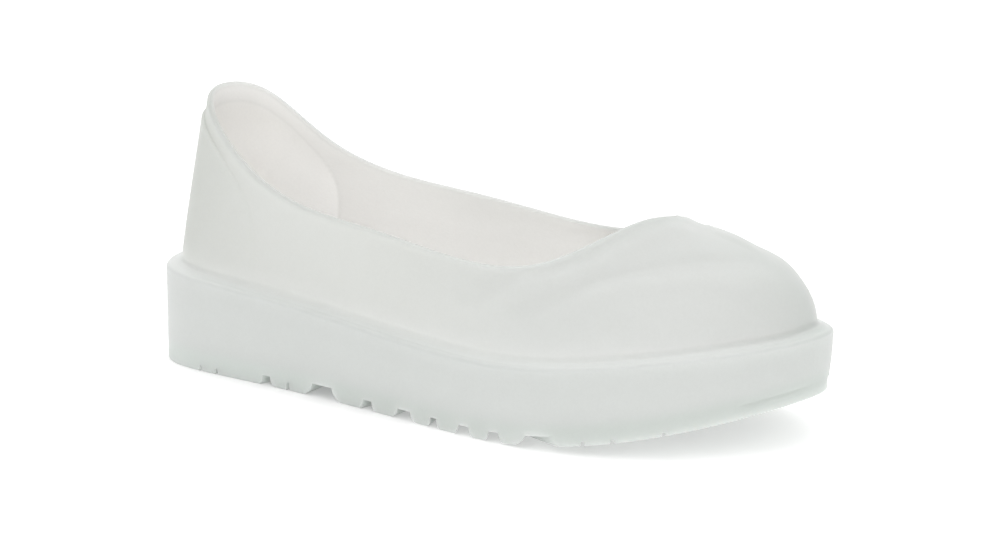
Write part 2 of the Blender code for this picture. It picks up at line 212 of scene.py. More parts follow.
# Sections at stations. Outer and inner are distances from the centre line as shares of the width, the ledge
# and the rim are shares of their heights, the lean is a share of the side's, and the slopes bend the wall.
SOLE_SECTIONS = (
    # station, outer, inner, ledge, lean
    (0.000, 0.000, 0.000, 1.000, 0.00),
    (0.038, 0.254, 0.251, 0.990, 0.00),
    (0.146, 0.341, 0.350, 0.935, 0.20),
    (0.309, 0.398, 0.318, 0.865, 0.50),
    (0.500, 0.500, 0.353, 0.776, 0.70),
    (0.691, 0.571, 0.409, 0.753, 0.80),
    (0.854, 0.455, 0.404, 0.709, 1.00),
    (0.962, 0.209, 0.204, 0.605, 1.00),
    (1.000, 0.000, 0.000, 0.575, 1.00),
)

RIM_SECTIONS = (
    # station, outer, inner, outer_height, inner_height
    (0.000, 0.000, 0.000, 0.995, 0.995),
    (0.038, 0.183, 0.185, 0.942, 0.942),
    (0.146, 0.271, 0.263, 0.776, 0.774),
    (0.309, 0.359, 0.284, 0.670, 0.668),
    (0.500, 0.412, 0.287, 0.630, 0.630),
    (0.691, 0.444, 0.297, 0.586, 0.586),
    (0.854, 0.414, 0.240, 0.609, 0.601),
    (0.962, 0.197, 0.085, 0.718, 0.692),
    (1.000, 0.047, -0.047, 0.729, 0.729),
)

UPPER_SECTIONS = (
    # station, upright, outer_slope, inner_slope, foot
    (0.000, 0.08, 0.30, 0.30, 1.25),
    (0.038, 0.10, 0.30, 0.30, 1.25),
    (0.146, 0.20, 0.30, 0.30, 1.20),
    (0.309, 0.30, 0.30, 0.30, 1.00),
    (0.500, 0.32, 0.30, 0.30, 1.00),
    (0.691, 0.51, 0.28, 0.28, 1.00),
    (0.854, 0.85, 0.26, 0.18, 1.00),
    (0.962, 0.90, 0.25, 0.05, 1.00),
    (1.000, 0.73, 0.18, 0.18, 1.00),
)

# Grooves: widths and depths are shares of the settings, runs and spans are shares of the width. A groove is
# narrower at its top and flares towards the ground, which rounds the edges of the lugs.
GROOVE_TOP = 0.80
GROOVE_FLARE = 0.65
GROOVE_LEVELS = 17
GROOVE_START = 2
WAIST_SHARE = 0.88
CROSS_BRIDGE = 0.02
CROSS_WIDTH = 0.6
CROSS_DEPTH = 0.7
EDGE_GROOVES = (
    # station, width, depth, run, aim
    (0.111, 0.31, 0.60, 0.10, 0.170),
    (0.141, 0.33, 0.60, 0.10, 0.170),
    (0.232, 1.10, 1.00, 0.15, 0.280),
    (0.271, 0.33, 0.80, 0.12, 0.300),
    (0.416, 1.27, 1.00, 0.20, 0.470),
    (0.483, 1.90, 1.00, 0.20, 0.486),
    (0.537, 0.80, 1.00, 0.24, 0.486),
    (0.590, 1.10, 1.00, 0.26, 0.486),
    (0.640, 0.95, 1.00, 0.26, 0.486),
    (0.709, 1.60, 1.00, 0.17, 0.350),
    (0.764, 0.30, 0.45, 0.14, 0.680),
    (0.801, 0.30, 0.35, 0.14, 0.700),
    (0.860, 0.30, 0.35, 0.12, 0.720),
)

CROSS_GROOVES = (
    # station, half_span, sweep
    (0.110, 0.12, 0.05),
    (0.165, 0.13, 0.05),
    (0.220, 0.13, 0.05),
    (0.600, 0.18, -0.07),
    (0.655, 0.19, -0.07),
    (0.710, 0.20, -0.07),
    (0.765, 0.20, -0.07),
    (0.820, 0.18, -0.07),
    (0.875, 0.14, -0.07),
)

# Soft folds of the vamp: height, fade of the ends in degrees, and each fold's path over turns and levels
FOLD_HEIGHT = 0.0008
FOLD_FADE = 14.0
VAMP_FOLDS = (
    # height, width, side_turn, side_level, crest_turn, crest_level, toe_turn, toe_level
    (1.0, 0.08, 96.0, 0.36, 130.0, 0.84, 166.0, 0.88),
    (-0.7, 0.08, 108.0, 0.48, 137.0, 0.69, 166.0, 0.46),
    (0.8, 0.09, 104.0, 0.27, 136.0, 0.55, 160.0, 0.31),
)

# Bare patch on the toe: height, turns in degrees, levels, and how far each edge fades
PATCH_HEIGHT = 0.0004
PATCH_TURN = 27.0
PATCH_MIDDLE = 207.0
PATCH_TOP = 0.735
PATCH_END = 0.42
PATCH_TOP_FADE = 0.03
PATCH_END_FADE = 0.08
PATCH_SIDE_FADE = 8

TURNS = np.arange(AROUND) * 2 * math.pi / AROUND


# Shape of the shoe


def column(table, index):
    return np.array([row[index] for row in table])


def turn_of(station):
    """The turn, from 0 at the heel to pi at the toe, at which a ring passes a station."""
    return np.arccos(1 - 2 * np.clip(station, 0, 1))


def closed_spline(at, values, turns):
    """A smooth closed curve through values at rising turns, read at the given turns."""
    count = len(at)
    step = np.diff(np.append(at, at[0] + 2 * math.pi))
    rise = (np.roll(values, -1) - values) / step
    before = np.roll(step, 1)
    matrix = np.diag(2 * (before + step))
    for i in range(count):
        matrix[i, i - 1] += before[i]
        matrix[i, (i + 1) % count] += step[i]
    bend = np.linalg.solve(matrix, 6 * (rise - np.roll(rise, 1)))
    turns = np.mod(turns, 2 * math.pi)
    span = np.searchsorted(at, turns, side="right") - 1
    after = (span + 1) % count
    t = turns - at[span]
    h = step[span]
    slope = rise[span] - h * (2 * bend[span] + bend[after]) / 6
    return values[span] + t * (slope + t * (bend[span] / 2 + t * (bend[after] - bend[span]) / (6 * h)))


def around(table, outer, inner, turns, sign=1):
    """A column pair of a table as one closed curve: outer side going out, inner side coming back."""
    at = turn_of(column(table, 0))
    both = np.concatenate([sign * column(table, outer), column(table, inner)[-2:0:-1]])
    return closed_spline(np.concatenate([at, 2 * math.pi - at[-2:0:-1]]), both, turns)


def reach(table, turns):
    """Signed distance from the centre line: outer side negative, inner side positive."""
    return around(table, 1, 2, turns, -1) * WIDTH


def spring(x):
    """Height of the underside over the ground at x from the heel."""
    past = np.clip((x / LENGTH - SPRING_START) / (1 - SPRING_START), 0, None)
    return TOE_SPRING * past**SPRING_POWER


def outline(turns):
    return np.stack([LENGTH * (1 - np.cos(turns)) / 2, reach(SOLE_SECTIONS, turns)], axis=-1)


def mouth(turns):
    x = MOUTH_BACK + MOUTH_LENGTH * (1 - np.cos(turns)) / 2
    return np.stack([x, reach(RIM_SECTIONS, turns)], axis=-1)


def outward(plan, turns):
    small = 0.001
    along = plan(turns + small) - plan(turns - small)
    across = np.stack([along[:, 1], -along[:, 0]], axis=-1)
    return across / np.linalg.norm(across, axis=1, keepdims=True)


def ledge_height(turns):
    """Height of the ledge's outer edge over the underside."""
    return around(SOLE_SECTIONS, 3, 3, turns) * SOLE_HEIGHT


def side_lean(turns, height):
    return around(SOLE_SECTIONS, 4, 4, turns) * SIDE_LEAN * (1 - height / SOLE_HEIGHT)


def sole_ring(turns, inset, height):
    """The outline moved in by inset, at a height."""
    plan = outline(turns) - outward(outline, turns) * np.reshape(inset, (-1, 1))
    return np.column_stack([plan, np.broadcast_to(height, len(turns))])


def foot_inset(turns):
    return around(UPPER_SECTIONS, 4, 4, turns) * LEDGE_WIDTH


def foot_ring(turns):
    height = ledge_height(turns) + spring(outline(turns)[:, 0]) + LEDGE_RISE + SEAM
    return sole_ring(turns, foot_inset(turns), height)


def rim_ring(turns):
    plan = mouth(turns) + outward(mouth, turns) * UPPER_WALL / 2
    height = around(RIM_SECTIONS, 3, 4, turns) * HEEL_HEIGHT - UPPER_WALL / 2
    return np.column_stack([plan, height])


def plain_skin(turns, level):
    """Outer face of the upper, from its foot at level 0 to the rim at level 1, without folds."""
    foot = foot_ring(turns)
    rim = rim_ring(turns)
    height = rim[:, 2] - foot[:, 2]
    upright = foot.copy()
    upright[:, 2] += around(UPPER_SECTIONS, 1, 1, turns) * height
    lean = rim + around(UPPER_SECTIONS, 2, 3, turns)[:, None] * (foot - rim)
    t = np.reshape(np.broadcast_to(level, len(turns)), (-1, 1))
    return (1 - t) ** 3 * foot + 3 * (1 - t) ** 2 * t * upright + 3 * (1 - t) * t**2 * lean + t**3 * rim


def skin_normal(turns, level):
    small = 0.002
    along = plain_skin(turns + small, level) - plain_skin(turns - small, level)
    low = np.clip(np.asarray(level) - small, 0, 1)
    high = np.clip(np.asarray(level) + small, 0, 1)
    normal = np.cross(along, plain_skin(turns, high) - plain_skin(turns, low))
    return normal / np.linalg.norm(normal, axis=1, keepdims=True)


def smooth_step(value):
    value = np.clip(value, 0, 1)
    return value * value * (3 - 2 * value)


def degrees_from_heel(turns):
    return np.degrees(np.abs(np.mod(turns + math.pi, 2 * math.pi) - math.pi))


def folds(turns, level):
    """Height of the soft folds of the vamp over the plain skin."""
    from_heel = degrees_from_heel(turns)
    total = np.zeros(len(turns))
    for height, width, side, side_level, crest, crest_level, toe, toe_level in VAMP_FOLDS:
        climb = smooth_step((from_heel - side) / (crest - side))
        fall = smooth_step((from_heel - crest) / (toe - crest))
        path = side_level + (crest_level - side_level) * climb + (toe_level - crest_level) * fall
        ends = smooth_step((from_heel - side) / FOLD_FADE) * smooth_step(1 - (from_heel - toe) / FOLD_FADE)
        total += height * FOLD_HEIGHT * ends * np.exp(-(((level - path) / width) ** 2))
    return total


def toe_patch(turns, level):
    """Height of the bare, slightly raised patch on top of the toe."""
    side = PATCH_TURN - np.abs(np.degrees(np.mod(turns, 2 * math.pi)) - PATCH_MIDDLE)
    span = smooth_step((PATCH_TOP - level) / PATCH_TOP_FADE)
    span = span * smooth_step((level - PATCH_END) / PATCH_END_FADE)
    return PATCH_HEIGHT * span * smooth_step(side / PATCH_SIDE_FADE)


def skin(turns, level, out=0.0):
    """Face of the upper moved out by a distance, folds and toe patch included."""
    lift = folds(turns, level) + toe_patch(turns, level) + out
    return plain_skin(turns, level) + skin_normal(turns, level) * np.reshape(lift, (-1, 1))


# Meshes


def ring_faces(rings, count):
    """Faces between rings that follow one another."""
    faces = []
    for low in range(0, (rings - 1) * count, count):
        for i in range(count):
            j = (i + 1) % count
            faces.append((low + i, low + j, low + count + j, low + count + i))
    return faces


def ladder_faces(first, count, upwards):
    """Fill of a whole ring that starts at the back of the heel: its points pair up across the shoe."""
    last = first + count - 1
    half = (count - 1) // 2
    faces = [(first, first + 1, last), (first + half, first + half + 1, first + half + 2)]
    for i in range(half - 1):
        faces.append((first + 1 + i, first + 2 + i, last - 1 - i, last - i))
    return [face if upwards else face[::-1] for face in faces]


def in_frame(points):
    """Points measured from the heel, moved to the part's frame."""
    plan = outline(TURNS)
    middle = (plan[:, 1].min() + plan[:, 1].max()) / 2
    return np.asarray(points) + np.array([HEEL_BACK, -middle, 0])


def mesh_object(name, points, faces, marks=None):
    mesh = bpy.data.meshes.new(name)
    mesh.from_pydata(in_frame(points).tolist(), [], faces)
    for mark, values in (marks or {}).items():
        layer = mesh.attributes.new(mark, "FLOAT", "POINT")
        layer.data.foreach_set("value", np.asarray(values, dtype=np.float32))
    result = bpy.data.objects.new(name, mesh)
    bpy.context.scene.collection.objects.link(result)
    return result


def as_plain_mesh(piece):
    """Works the modifiers of a piece into its mesh."""
    bpy.context.view_layer.update()
    evaluated = piece.evaluated_get(bpy.context.evaluated_depsgraph_get())
    mesh = bpy.data.meshes.new_from_object(evaluated)
    piece.modifiers.clear()
    old = piece.data
    piece.data = mesh
    bpy.data.meshes.remove(old)
    mesh.name = piece.name


def dress(piece, material, *nodes):
    """Gives a finished piece its material and shading, and puts it in the place of its nodes."""
    mesh = piece.data
    mesh.materials.clear()
    mesh.materials.append(material)
    mesh.shade_smooth()
    mesh.set_sharp_from_angle(angle=math.radians(SMOOTH_ANGLE))
    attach(piece, "root")
    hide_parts(*nodes)


# Shader and geometry graphs


class Wire:
    """An output of a node. Arithmetic on it adds Math nodes to the same graph."""

    def __init__(self, graph, socket):
        self.graph = graph
        self.socket = socket

    def math(self, operation, *values):
        return self.graph.add(self.graph.math_node, {"operation": operation}, values)

    def __add__(self, other):
        return self.math("ADD", self, other)

    def __radd__(self, other):
        return self.math("ADD", other, self)

    def __sub__(self, other):
        return self.math("SUBTRACT", self, other)

    def __rsub__(self, other):
        return self.math("SUBTRACT", other, self)

    def __mul__(self, other):
        return self.math("MULTIPLY", self, other)

    def __rmul__(self, other):
        return self.math("MULTIPLY", other, self)

    def __truediv__(self, other):
        return self.math("DIVIDE", self, other)

    def __rtruediv__(self, other):
        return self.math("DIVIDE", other, self)

    def __pow__(self, other):
        return self.math("POWER", self, other)

    def at_least(self, other):
        return self.math("MAXIMUM", self, other)

    def at_most(self, other):
        return self.math("MINIMUM", self, other)


class Graph:
    """A node tree that is filled by calls: a node's type, its settings, then its inputs."""

    math_node = "ShaderNodeMath"

    def __init__(self, tree):
        self.tree = tree

    def add(self, kind, settings=None, inputs=(), output=0):
        node = self.tree.nodes.new(kind)
        for key, value in (settings or {}).items():
            setattr(node, key, value)
        pairs = inputs.items() if isinstance(inputs, dict) else enumerate(inputs)
        for key, value in pairs:
            socket = node.inputs[key]
            if isinstance(value, Wire):
                self.tree.links.new(value.socket, socket)
            else:
                socket.default_value = value
        return Wire(self, node.outputs[output])

    def mix(self, factor, first, second):
        """Colour between two colours."""
        values = {0: factor, 6: first, 7: second}
        return self.add("ShaderNodeMix", {"data_type": "RGBA"}, values, 2)

    def noise(self, place, scale, detail=2.0, roughness=0.5):
        values = {"Vector": place, "Scale": scale, "Detail": detail, "Roughness": roughness}
        return self.add("ShaderNodeTexNoise", {"noise_dimensions": "3D"}, values)

    def mark(self, name):
        """A number kept on the points of the piece, 0 where the piece has none."""
        return self.add("ShaderNodeAttribute", {"attribute_name": name}, (), "Fac")

    def ramp(self, value, low, high):
        """Value brought from low..high to 0..1, with soft ends."""
        settings = {"interpolation_type": "SMOOTHSTEP"}
        return self.add("ShaderNodeMapRange", settings, {"Value": value, "From Min": low, "From Max": high})


def colour(values):
    return (*values, 1.0)


def rubber(name):
    """Frosted milky rubber, greener low down, with a fine moulded grain. Shade and light are painted into its
    colour: lighter and warmer where it faces the hollow, darker at the heel, the toe, the rim and the edges,
    lighter in the crease and on the swell of the vamp.
    """
    look = bpy.context.scene.overshoe_look
    material = bpy.data.materials.new(name)
    material.use_nodes = True
    graph = Graph(material.node_tree)
    shader = material.node_tree.nodes["Principled BSDF"]
    place = graph.add("ShaderNodeTexCoord", output="Object")
    along = graph.add("ShaderNodeSeparateXYZ", None, [place], 0)
    cloud = graph.noise(place, CLOUD_SCALE, 3.0)
    speck = graph.noise(place, SPECK_SCALE, 2.0, 0.6)
    within = graph.mark("inside")
    rise = graph.mark("rise")
    level = graph.mark("level")
    warm_light = colour(look.warm_light)
    painted_shade = colour(look.rim)
    painted_light = colour(look.painted_light)

    # Outer faces: the sole from the ground up, then the upper, with painted shade and painted light on both
    tint = graph.mix(graph.ramp(along, *SOLE_FRONT_X), colour(look.sole), colour(look.sole_front))
    tint = graph.mix(graph.ramp(rise, *SOLE_TOP_RISE), tint, colour(look.sole_top))
    # Near the ground: greener, and darker to the front as painted shade on the bottom edge
    low = graph.mix(graph.ramp(along, *LOW_FRONT_X), colour(look.low), colour(look.low_front_shade))
    tint = graph.mix(graph.ramp(rise, look.pale_height, 0.5 * look.pale_height), tint, low)
    # Painted shade: the upper's sides darker towards the heel
    side = graph.mix(graph.ramp(along, *SIDE_X), colour(look.heel_side_shade), colour(look.outside))
    tint = graph.mix(graph.mark("upper"), tint, side)
    # Painted shade on the heel's back, the darker edge where the wall turns away
    tint = graph.mix(graph.mark("heel_back") * look.heel_shade_depth, tint, colour(look.heel))
    # Painted shade at the toe and the throat
    tint = graph.mix(graph.mark("toe_front") * look.toe_shade_depth, tint, colour(look.toe))
    # Painted sheen on the swell of the vamp
    tint = graph.mix(graph.mark("cheek") * look.cheek_sheen, tint, painted_light)
    # Painted shade on the ledge's rounded edge
    tint = graph.mix(graph.mark("edge") * look.edge_shade_depth, tint, painted_shade)
    # Painted light in the crease where the upper meets the ledge
    tint = graph.mix(graph.mark("crease") * look.crease_painted_light, tint, painted_light)

    # Inner faces: a lighter, warmer copy of the rubber, with painted light inside the heel, to the front and
    # low down, and painted shade towards the rim
    lining = graph.mix(graph.ramp(along, *HEEL_INSIDE_X), colour(look.inside), colour(look.heel_inside_light))
    lining = graph.mix(graph.ramp(along, *FRONT_LIGHT_X) * look.front_light, lining, warm_light)
    lining = graph.mix(graph.ramp(level, *FLOOR_LIGHT_LEVEL) * look.floor_light, lining, warm_light)
    # Painted shade on the inner faces towards the rim
    lining = graph.mix(graph.ramp(level, *MOUTH_LEVEL) * look.mouth_shade_depth, lining, painted_shade)
    tint = graph.mix(within, tint, lining)
    # Painted light on the inside of the heel counter
    milky = within * graph.mark("panel") * graph.ramp(level, *PANEL_LEVEL)
    tint = graph.mix(milky * look.panel_painted_light, tint, warm_light)

    # Painted shade along the counter's edge line on both sides and on the rim, and the rubber's uneven tone
    # Painted shade along the counter's edge line
    line = graph.mark("panel_edge") * (look.line_shade_depth * within + LINE_SHADE_OUTSIDE)
    tint = graph.mix(line, tint, painted_shade)
    # Painted shade on the rim
    tint = graph.mix(graph.mark("rim") * look.rim_shade_depth, tint, painted_shade)
    shade = 1 + (cloud - 0.5) * look.cloudiness + (speck - 0.5) * look.speckle
    tint = graph.add("ShaderNodeVectorMath", {"operation": "SCALE"}, {0: tint, "Scale": shade})
    frost = look.frost + (cloud - 0.5) * CLOUD_FROST + (speck - 0.5) * SPECK_FROST
    height = speck + cloud * CLOUD_BUMP
    bump_values = {"Strength": look.grain, "Distance": GRAIN_HEIGHT, "Height": height}
    bump = graph.add("ShaderNodeBump", None, bump_values)
    for key, wire in {"Base Color": tint, "Roughness": frost, "Normal": bump}.items():
        material.node_tree.links.new(wire.socket, shader.inputs[key])
    shader.inputs["IOR"].default_value = RUBBER_IOR
    shader.inputs["Subsurface Weight"].default_value = look.milkiness
    shader.inputs["Subsurface Radius"].default_value = (1.0, 1.0, 1.0)
    shader.inputs["Subsurface Scale"].default_value = look.scatter
    shader.inputs["Specular IOR Level"].default_value = RUBBER_SPECULAR
    return material


def sole_tree(name):
    """Geometry tree of the sole: grooves cut by repeated flared blocks, then the bend up to the toe."""
    tree = bpy.data.node_groups.new(name, "GeometryNodeTree")
    face = tree.interface
    face.new_socket("Geometry", in_out="INPUT", socket_type="NodeSocketGeometry")
    face.new_socket("Groove points", in_out="INPUT", socket_type="NodeSocketObject")
    for key, value in (
        ("Length", LENGTH),
        ("Heel", HEEL_BACK),
        ("Toe spring", TOE_SPRING),
        ("Spring start", SPRING_START),
        ("Spring power", SPRING_POWER),
        ("Groove top", GROOVE_TOP),
        ("Groove flare", GROOVE_FLARE),
    ):
        face.new_socket(key, in_out="INPUT", socket_type="NodeSocketFloat").default_value = value
    face.new_socket("Rubber", in_out="INPUT", socket_type="NodeSocketMaterial")
    face.new_socket("Geometry", in_out="OUTPUT", socket_type="NodeSocketGeometry")
    graph = Graph(tree)
    source = tree.nodes.new("NodeGroupInput")
    given = {socket.name: Wire(graph, socket) for socket in source.outputs if socket.name}
    points = graph.add("GeometryNodeObjectInfo", None, {0: given["Groove points"]}, "Geometry")
    cube = {"Size": (1.0, 1.0, 1.0), "Vertices Z": GROOVE_LEVELS}
    block = graph.add("GeometryNodeMeshCube", None, cube)
    place = graph.add("GeometryNodeInputPosition")
    drop = (1 - 2 * graph.add("ShaderNodeSeparateXYZ", None, [place], 2)).at_least(0.0).at_most(1.0)
    spread = given["Groove top"] - 1 + given["Groove flare"] * drop**2
    sideways = graph.add("ShaderNodeSeparateXYZ", None, [place], 1) * spread
    flare = graph.add("ShaderNodeCombineXYZ", None, {"Y": sideways})
    block = graph.add("GeometryNodeSetPosition", None, {"Geometry": block, "Offset": flare})
    vector = {"data_type": "FLOAT_VECTOR"}
    size = graph.add("GeometryNodeInputNamedAttribute", vector, {"Name": "size"})
    turn = graph.add("GeometryNodeInputNamedAttribute", vector, {"Name": "turn"})
    spots = {"Points": points, "Instance": block, "Rotation": turn, "Scale": size}
    blocks = graph.add("GeometryNodeInstanceOnPoints", None, spots)
    blocks = graph.add("GeometryNodeRealizeInstances", None, {0: blocks})
    settings = {"operation": "DIFFERENCE", "solver": "EXACT"}
    cut = {"Mesh 1": given["Geometry"], "Mesh 2": blocks, "Self Intersection": True}
    body = graph.add("GeometryNodeMeshBoolean", settings, cut)
    x = graph.add("ShaderNodeSeparateXYZ", None, [graph.add("GeometryNodeInputPosition")], 0)
    share = (x - given["Heel"]) / given["Length"]
    start = given["Spring start"]
    past = ((share - start) / (1 - start)).at_least(0.0)
    lift = past ** given["Spring power"] * given["Toe spring"]
    offset = graph.add("ShaderNodeCombineXYZ", None, {"Z": lift})
    bent = graph.add("GeometryNodeSetPosition", None, {"Geometry": body, "Offset": offset})
    whole = graph.add("GeometryNodeRealizeInstances", None, {0: bent})
    last = {"Geometry": whole, "Material": given["Rubber"]}
    done = graph.add("GeometryNodeSetMaterial", None, last)
    sink = tree.nodes.new("NodeGroupOutput")
    tree.links.new(done.socket, sink.inputs["Geometry"])
    return tree


def run_tree(piece, tree, values):
    """Runs a geometry tree on a piece with its named inputs, and keeps the plain mesh."""
    modifier = piece.modifiers.new(tree.name, "NODES")
    modifier.node_group = tree
    for item in tree.interface.items_tree:
        if item.in_out == "INPUT" and item.name in values:
            modifier[item.identifier] = values[item.name]
    as_plain_mesh(piece)


# Settings


def length_setting(name, text, value, **limits):
    return FloatProperty(name=name, description=text, default=value, unit="LENGTH", **limits)


def number_setting(name, text, value, **limits):
    return FloatProperty(name=name, description=text, default=value, **limits)


def colour_setting(name, text, value):
    return FloatVectorProperty(name=name, description=text, subtype="COLOR", size=3, default=value)


class OvershoeSizes(bpy.types.PropertyGroup):
    toe_spring: length_setting("Toe spring", "Rise of the underside at the toe", TOE_SPRING, min=0.0)
    counter_wall: length_setting("Counter wall", "How far the heel counter stands out", COUNTER_WALL)
    groove_width: length_setting("Groove width", "Width of a plain groove of the tread", 0.0045)
    lug_depth: length_setting("Lug depth", "Depth of the deepest grooves", 0.004)
    rim_steps: IntProperty(
        name="Rim steps", description="Steps of the rounding of the rim", default=9, min=3, max=20
    )


class OvershoeLook(bpy.types.PropertyGroup):
    outside: colour_setting("Outside", "Colour of the outer faces", (0.568, 0.584, 0.569))
    # Painted shade: the upper's sides darker towards the heel
    heel_side_shade: colour_setting("Heel side", "Colour of the upper's sides at the heel", (0.560, 0.572, 0.550))
    # Painted shade on the back of the heel, for its darker edge where the wall turns away
    heel: colour_setting("Heel", "Colour of the thick back of the heel", (0.465, 0.482, 0.448))
    heel_shade_depth: number_setting("Heel depth", "How much of the heel colour shows", 1.0)
    # Painted shade at the toe and the throat
    toe: colour_setting("Toe", "Colour of the thick front of the toe", (0.46, 0.505, 0.475))
    toe_shade_depth: number_setting("Toe depth", "How much of the toe colour shows", 0.32)
    sole: colour_setting("Sole", "Colour of the sole's side", (0.597, 0.614, 0.600))
    sole_front: colour_setting("Sole front", "Colour of the sole's side near the toe", (0.606, 0.622, 0.608))
    sole_top: colour_setting("Sole top", "Colour of the sole's side under the ledge", (0.588, 0.603, 0.590))
    low: colour_setting("Low", "Colour near the ground", (0.600, 0.635, 0.610))
    # Painted shade near the ground to the front, against the lit table's light on the bottom edge
    low_front_shade: colour_setting("Low front", "Colour near the ground to the front", (0.576, 0.606, 0.582))
    pale_height: length_setting("Pale height", "Height at which the low colour has faded", 0.0105)
    # Painted light for the crease and the swell of the vamp
    painted_light: colour_setting("Pale", "Milkier colour in the crease", (0.90, 0.92, 0.90))
    # Painted sheen on the swell of the vamp
    cheek_sheen: number_setting("Cheek light", "How much milkier the swell of the vamp is", 0.14)
    # Painted light in the crease
    crease_painted_light: number_setting("Crease light", "How much milkier the crease is", 0.40)
    # Colour of the painted shade on the rim, the ledge's edge, near the rim inside and along the counter's
    # edge line
    rim: colour_setting("Rim", "Deeper colour of the edges", (0.30, 0.315, 0.30))
    rim_shade_depth: number_setting("Rim depth", "How much of the edge colour shows", 0.62)
    # Painted shade on the ledge's rounded edge
    edge_shade_depth: number_setting("Edge depth", "How much the ledge's edge is deeper in colour", 0.19)
    # Painted light: the inner faces are a lighter, warmer copy of the rubber, lighter still inside the heel,
    # to the front and low down
    inside: colour_setting("Inside", "Colour where it faces the hollow", (0.672, 0.667, 0.646))
    heel_inside_light: colour_setting("Heel inside", "Colour inside the heel", (0.73, 0.718, 0.695))
    warm_light: colour_setting("Warm", "Milkier colour inside", (0.90, 0.882, 0.852))
    front_light: number_setting("Front light", "How much milkier the inside is to the front", 0.5)
    floor_light: number_setting("Floor light", "How much milkier the inside is low down", 0.3)
    # Painted shade near the rim inside
    mouth_shade_depth: number_setting("Mouth depth", "How much deeper the inside is near the rim", 0.10)
    # Painted light on the inside of the heel counter
    panel_painted_light: number_setting("Panel light", "How much milkier the heel's inside is", 0.62)
    # Painted shade along the counter's edge line inside
    line_shade_depth: number_setting("Line depth", "How dark the counter's edge shows inside", 0.04)
    frost: number_setting("Frost", "Roughness of the surface", 0.42, min=0.0, max=1.0)
    milkiness: number_setting("Milkiness", "Share of light that scatters inside", 1.0, min=0.0, max=1.0)
    scatter: length_setting("Scatter", "How far light spreads in the rubber", 0.010)
    grain: number_setting("Grain", "Strength of the fine moulded grain", 0.35)
    cloudiness: number_setting("Cloudiness", "Soft uneven shade of the rubber", 0.035)
    speckle: number_setting("Speckle", "Fine light and dark grain", 0.05)


class OvershoeStage(bpy.types.PropertyGroup):
    floor: colour_setting("Floor", "Colour of the floor", (0.78, 0.78, 0.78))
    table: number_setting("Table", "Light that comes through the table", 0.36)
    sky: number_setting("Sky", "Strength of the even light", 1.14)
    side_dim: number_setting("Side dim", "How much dimmer the room is at the sides", 0.75)
    overhead: number_setting("Overhead", "How much brighter the room is overhead", 0.32)
    key: number_setting("Key", "Power of the large soft box", 0.5, unit="POWER")
    lens: number_setting("Lens", "Focal length of the camera in millimetres", 108.08)


# Pieces


def counter_reach(turns, level):
    """How near a point is to the edge of the heel counter: 0 at the foot of its back, 1 at its edge."""
    climb = rim_ring(np.zeros(1))[0, 2] - foot_ring(np.zeros(1))[0, 2]
    top = 1 - COLLAR_BAND / climb
    side = degrees_from_heel(turns) / COUNTER_TURN
    return (side**COUNTER_CORNER + (level / top) ** COUNTER_CORNER) ** (1 / COUNTER_CORNER)


def counter_rise(turns, level):
    """Share of the counter's thickness: full at the back, thinner to the front, soft at the edge."""
    side = degrees_from_heel(turns) / COUNTER_TURN
    thin = 1 - COUNTER_TAPER * smooth_step((side - COUNTER_FULL) / (1 - COUNTER_FULL))
    return thin * smooth_step((1 - counter_reach(turns, level)) / COUNTER_EDGE)


def groove_points(name, sizes):
    """One point for each block that is cut from the tread, with its size and its turn."""
    places = []
    blocks = []
    turns = []

    def groove(first, last, width, depth):
        run = last - first
        places.append((*((first + last) / 2), 0.0))
        blocks.append((np.linalg.norm(run), width, 2 * depth))
        turns.append((0.0, 0.0, math.atan2(run[1], run[0])))

    for station, width, depth, run, aim in EDGE_GROOVES:
        for turn in (turn_of(station), 2 * math.pi - turn_of(station)):
            edge = outline(np.array([turn]))[0]
            along = np.array([aim * LENGTH, 0]) - edge
            along /= np.linalg.norm(along)
            first = edge - along * sizes.groove_width * GROOVE_START
            last = edge + along * run * WIDTH
            groove(first, last, width * sizes.groove_width, depth * sizes.lug_depth)
    for station, half_span, sweep in CROSS_GROOVES:
        turn = turn_of(station)
        middle = (outline(np.array([turn]))[0] + outline(np.array([2 * math.pi - turn]))[0]) / 2
        for side in (-1, 1):
            first = middle + np.array([0, side * CROSS_BRIDGE]) * WIDTH
            last = middle + np.array([-sweep, side * half_span]) * WIDTH
            groove(first, last, CROSS_WIDTH * sizes.groove_width, CROSS_DEPTH * sizes.lug_depth)
    waist = np.array([(HEEL_TREAD_END + FORE_TREAD_START) / 2 * LENGTH, 0])
    across = np.array([0, WIDTH])
    gap = WAIST_SHARE * (FORE_TREAD_START - HEEL_TREAD_END) * LENGTH
    groove(waist - across, waist + across, gap, TREAD_TOP)
    cloud = mesh_object(name, places, [])
    for key, values in (("size", blocks), ("turn", turns)):
        layer = cloud.data.attributes.new(key, "FLOAT_VECTOR", "POINT")
        layer.data.foreach_set("vector", np.asarray(values, dtype=np.float32).ravel())
    return cloud


def body_turns():
    """Turns round the shoe, the same on both sides, closer together at the counter's front edges."""
    front = math.radians(COUNTER_TURN) + np.linspace(*FRONT_TURNS)
    half = np.sort(np.concatenate([np.linspace(0, math.pi, AROUND // 2 + 1), front]))
    return np.concatenate([half, 2 * math.pi - half[-2:0:-1]])


